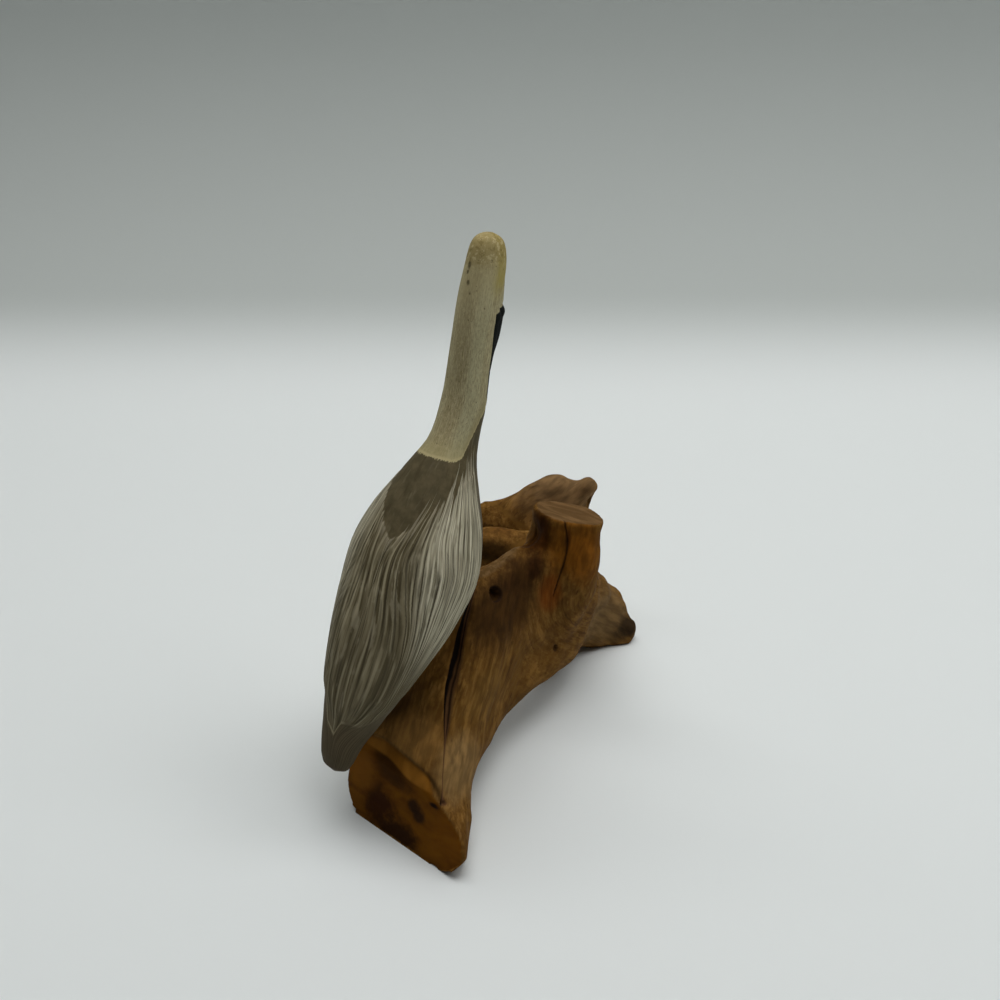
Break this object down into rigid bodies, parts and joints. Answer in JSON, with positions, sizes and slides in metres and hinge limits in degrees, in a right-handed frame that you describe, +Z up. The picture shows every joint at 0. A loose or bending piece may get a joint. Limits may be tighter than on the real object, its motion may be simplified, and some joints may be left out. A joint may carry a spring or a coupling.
{
  "type": "driftwood pelican carving",
  "caption": "Small carved and painted wooden pelican perched on a sawn piece of natural driftwood that stands on its own feet.",
  "frame": {"origin": "middle of the footprint, on the surface the driftwood stands on", "axes": "+Z up, +Y the way the bird faces, +X to the bird's right"},
  "size_m": [0.058, 0.117, 0.1288],
  "materials": {
    "painted_wood": "matt paint in cream, grey and brown with fine streaks",
    "driftwood": "weathered and lightly polished orange-brown wood"
  },
  "bodies": {
    "root": {"pelican": "painted_wood", "driftwood": "driftwood"}
  },
  "joints": []
}
